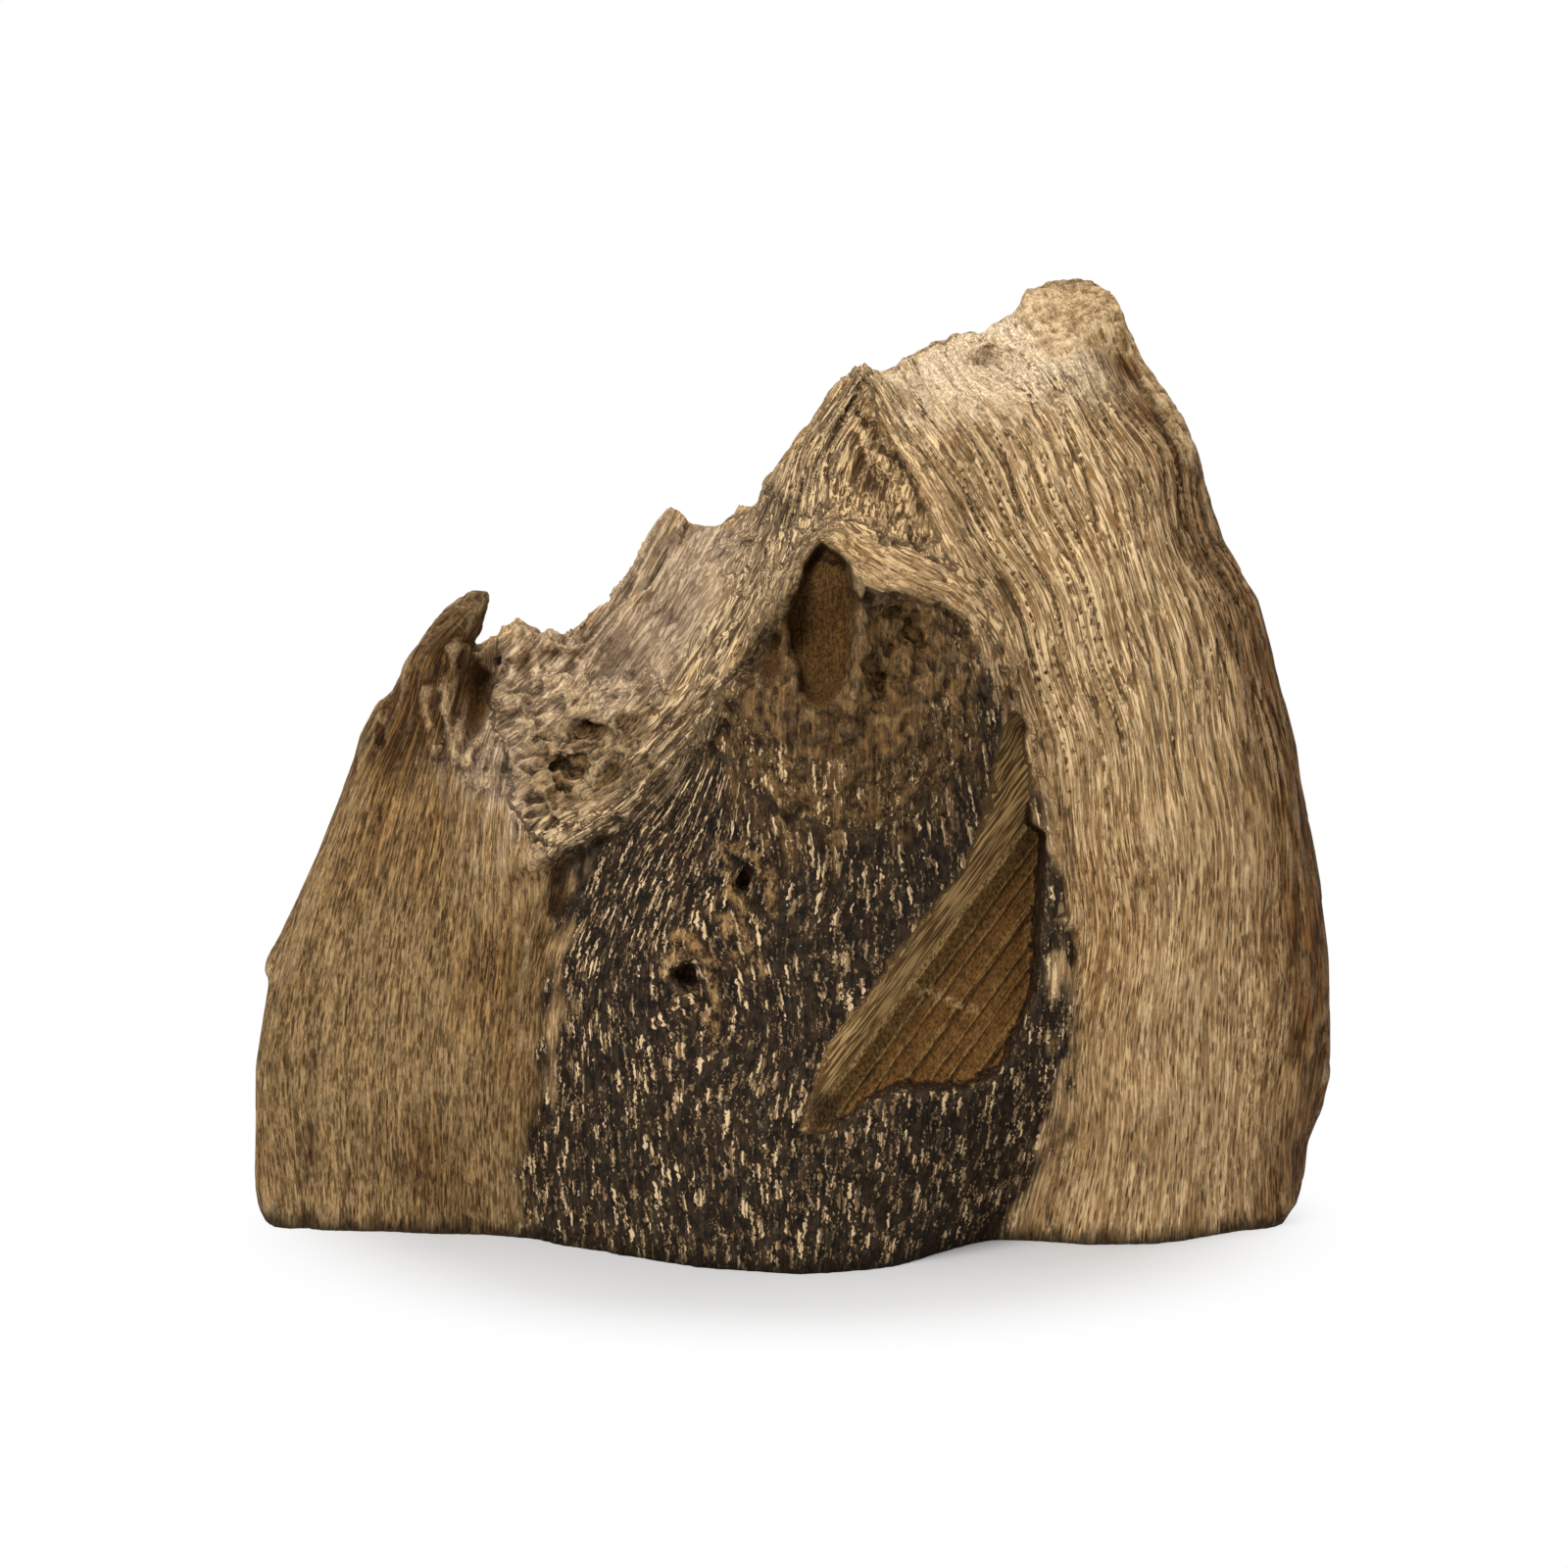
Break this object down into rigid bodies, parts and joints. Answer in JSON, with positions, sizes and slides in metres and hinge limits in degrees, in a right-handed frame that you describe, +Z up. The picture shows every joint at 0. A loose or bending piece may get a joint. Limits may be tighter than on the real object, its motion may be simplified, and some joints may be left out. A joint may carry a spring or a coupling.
{
  "type": "agarwood stump",
  "caption": "Weathered lump of agarwood trunk with a hollow branch stub, a broken horned top and a saw notch, standing on a flat sawn base.",
  "frame": {"origin": "centre of the outer box, on the plane of the flat sawn base", "axes": "+X runs across the face with the branch stub, towards the tall smooth lobe; -Y is the side that the branch stub faces; +Z is up along the grain"},
  "size_m": [0.2228, 0.1196, 0.1927],
  "materials": {
    "wood": "matt, weathered, with a dark resin streak"
  },
  "bodies": {
    "root": {"stump": "wood"}
  },
  "joints": []
}
